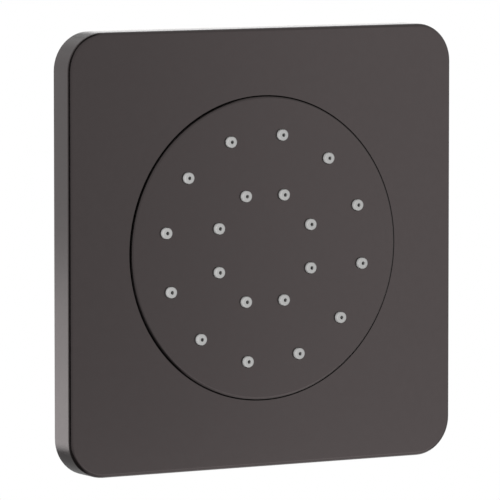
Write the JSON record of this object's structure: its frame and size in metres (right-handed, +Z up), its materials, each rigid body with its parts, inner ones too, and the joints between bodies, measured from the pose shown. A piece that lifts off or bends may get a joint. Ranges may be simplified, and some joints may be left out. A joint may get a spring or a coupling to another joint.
{
  "type": "wall-mounted body spray shower head",
  "caption": "Square flush wall shower head with a round spray face that swivels on a ball joint, rubber nozzles, a wall housing and a threaded inlet behind.",
  "frame": {"origin": "middle of the four wall screw holes, on the finished wall's plane at the flange's back face", "axes": "+Y into the wall, -Y towards the shower, +X to the right as seen from the shower, +Z up"},
  "size_m": [0.115, 0.0661, 0.115],
  "materials": {
    "trim_plate": "satin dark bronze",
    "set_screws": "bright",
    "housing": "moulded",
    "wall_gasket": "foam",
    "inlet_connector": "turned",
    "housing_washer": "matte",
    "lock_nut": "turned",
    "ball_stud": "turned",
    "stud_o_ring": "matte",
    "flow_regulator": "moulded",
    "regulator_ring": "matte",
    "inlet_screen": "bright",
    "swivel_liner": "smooth",
    "ball_seat": "smooth",
    "ball_seal": "matte",
    "seat_o_ring": "matte",
    "spray_face": "satin dark bronze",
    "nozzle_mat": "soft silicone",
    "nozzle_plate": "moulded",
    "chamber_seal": "matte",
    "chamber_back": "moulded",
    "face_screws": "bright",
    "swivel_nut": "turned"
  },
  "bodies": {
    "wall_unit": {"trim_plate": "trim_plate", "set_screws": "set_screws", "housing": "housing", "wall_gasket": "wall_gasket", "inlet_connector": "inlet_connector", "housing_washer": "housing_washer", "lock_nut": "lock_nut", "ball_stud": "ball_stud", "stud_o_ring": "stud_o_ring", "flow_regulator": "flow_regulator", "regulator_ring": "regulator_ring", "inlet_screen": "inlet_screen"},
    "swivel_middle": {"swivel_liner": "swivel_liner"},
    "swivel_front": {"ball_seat": "ball_seat", "ball_seal": "ball_seal", "seat_o_ring": "seat_o_ring"},
    "spray_head": {"spray_face": "spray_face", "nozzle_mat": "nozzle_mat", "nozzle_plate": "nozzle_plate", "chamber_seal": "chamber_seal", "chamber_back": "chamber_back", "face_screws": "face_screws", "swivel_nut": "swivel_nut"}
  },
  "joints": [
    {"name": "face_pan", "type": "hinge", "parent": "wall_unit", "child": "swivel_middle", "pos_m": [0, 0.0082, 0], "axis": [0, 0, 1], "range_deg": [-10, 10]},
    {"name": "face_tilt", "type": "hinge", "parent": "swivel_middle", "child": "swivel_front", "pos_m": [0, 0.0082, 0], "axis": [1, 0, 0], "range_deg": [-10, 10]},
    {"name": "face_spin", "type": "hinge", "parent": "swivel_front", "child": "spray_head", "pos_m": [0, 0.0082, 0], "axis": [0, 1, 0], "continuous": true}
  ]
}
